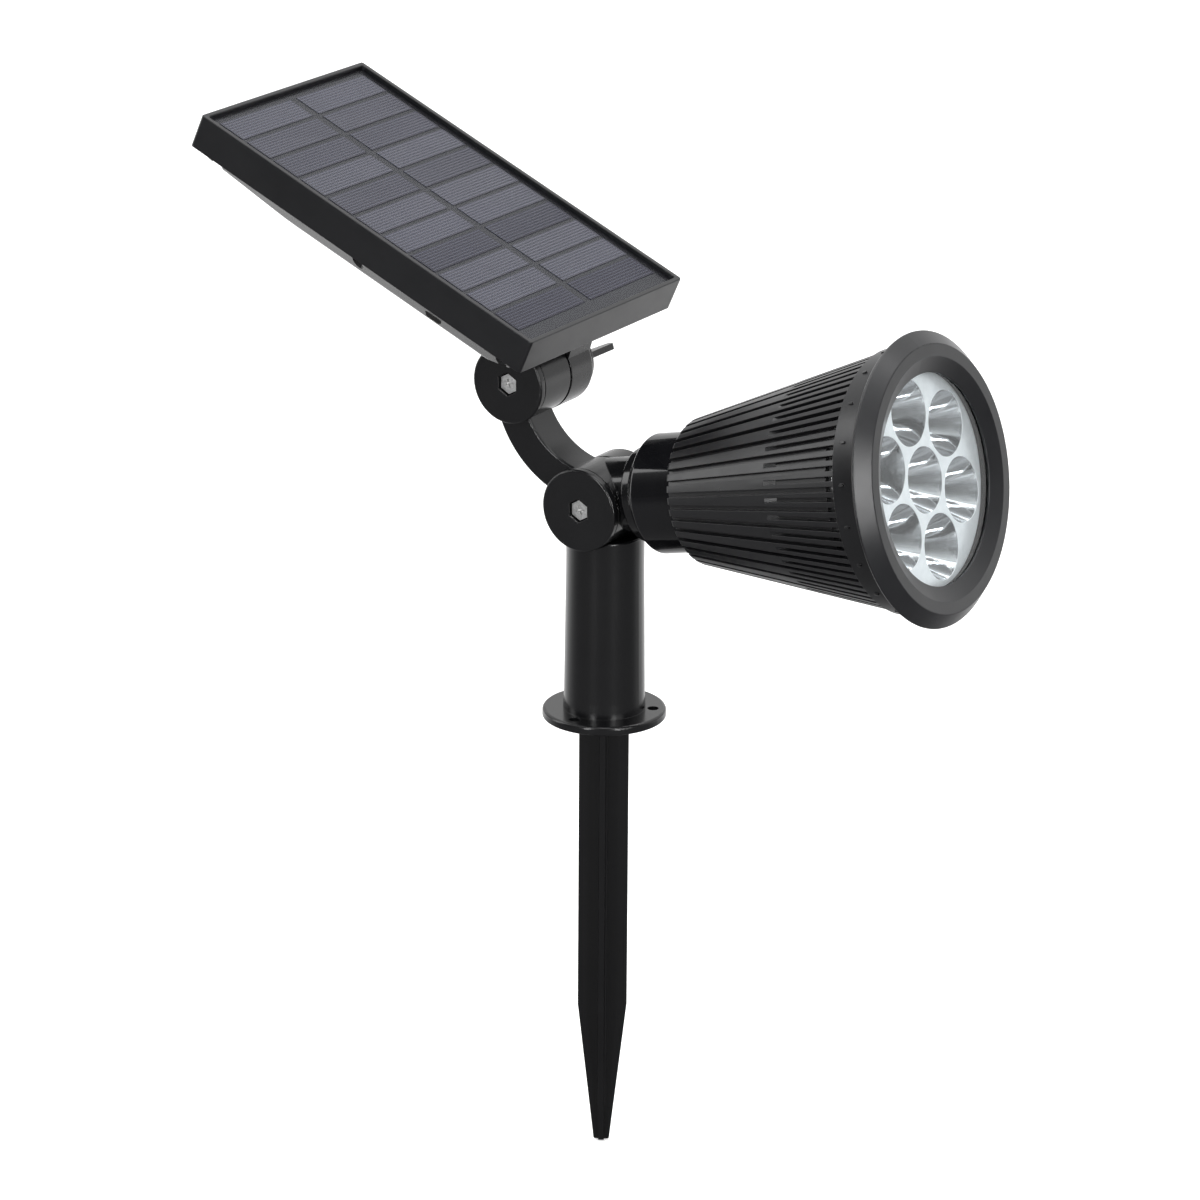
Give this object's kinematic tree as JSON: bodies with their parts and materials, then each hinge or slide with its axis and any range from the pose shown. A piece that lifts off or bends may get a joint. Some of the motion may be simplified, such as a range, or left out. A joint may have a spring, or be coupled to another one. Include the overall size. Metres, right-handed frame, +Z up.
{
  "type": "solar garden spotlight on a ground stake",
  "caption": "Solar garden spotlight: ribbed lamp head on a tilting neck, curved arm with a tilting solar panel above, round post with fixing flange and a cross-finned ground stake.",
  "frame": {"origin": "centre of the post flange's underside, where it rests on the ground", "axes": "+Z up along the post, +X the way the lamp points, -Y the side with the bolt heads, +Y the side with the wing nuts"},
  "size_m": [0.3046, 0.1074, 0.4021],
  "materials": {
    "black_plastic": "satin moulded ABS",
    "black_gloss": "gloss moulded ABS",
    "grey_plastic": "satin, slightly lighter than the housing",
    "clear_lens": "clear moulded polycarbonate",
    "mirror_finish": "vacuum metallised plastic",
    "plated_steel": "black oxide and zinc plated",
    "black_rubber": "matt",
    "led_board_white": "white solder mask",
    "led_phosphor": "phosphor dome",
    "cell_wrap": "shrink wrap",
    "circuit_green": "solder mask",
    "component_black": "moulded components",
    "wire_red": "insulated wire",
    "pv_backsheet": "dark laminate board",
    "pv_silicon": "anti-reflection coated silicon with fine printed lines",
    "pv_film": "clear encapsulating film",
    "brass_insert": "machined"
  },
  "bodies": {
    "post": {"stake": "black_plastic", "post": "black_plastic"},
    "head": {"bracket": "black_gloss", "pivot_bolts": "plated_steel", "friction_washers": "black_rubber", "steel_washers": "plated_steel", "lamp_rear_cap": "black_gloss", "neck_screws": "plated_steel", "cap_o_ring": "black_rubber", "lamp_housing": "black_plastic", "bezel": "grey_plastic", "lens": "clear_lens", "lens_gasket": "black_rubber", "reflector": "mirror_finish", "led_board": "led_board_white", "led_emitters": "led_phosphor", "led_board_screws": "plated_steel", "battery_holder": "black_plastic", "battery": "cell_wrap", "battery_contacts": "plated_steel", "control_board": "circuit_green", "control_components": "component_black", "lamp_harness": "wire_red"},
    "panel": {"panel_frame": "black_plastic", "pv_board": "pv_backsheet", "pv_cells": "pv_silicon", "pv_cover": "pv_film", "panel_back_cover": "black_plastic", "cover_screws": "plated_steel", "mode_switch": "component_black", "junction_board": "circuit_green", "panel_leads": "wire_red"},
    "wing_nut_lower": {"wing_nut_lower": "black_plastic", "wing_insert_lower": "brass_insert"},
    "wing_nut_upper": {"wing_nut_upper": "black_plastic", "wing_insert_upper": "brass_insert"},
    "mode_button": {"mode_button": "black_rubber"}
  },
  "joints": [
    {"name": "head_tilt", "type": "hinge", "parent": "post", "child": "head", "pos_m": [0, 0, 0.0868], "axis": [0, -1, 0], "range_deg": [-15, 60]},
    {"name": "panel_tilt", "type": "hinge", "parent": "head", "child": "panel", "pos_m": [-0.0316, 0, 0.1307], "axis": [0, -1, 0], "range_deg": [-60, 70]},
    {"name": "wing_nut_lower_turn", "type": "hinge", "parent": "head", "child": "wing_nut_lower", "pos_m": [0, 0.0159, 0.0868], "axis": [0, 1, 0], "continuous": true},
    {"name": "wing_nut_upper_turn", "type": "hinge", "parent": "head", "child": "wing_nut_upper", "pos_m": [-0.0316, 0.0187, 0.1307], "axis": [0, 1, 0], "continuous": true},
    {"name": "mode_button_press", "type": "slide", "parent": "panel", "child": "mode_button", "axis": [0, 1, 0], "range_m": [0, 0.001], "stiffness_N_per_m": 5, "springref_m": -0.002}
  ]
}
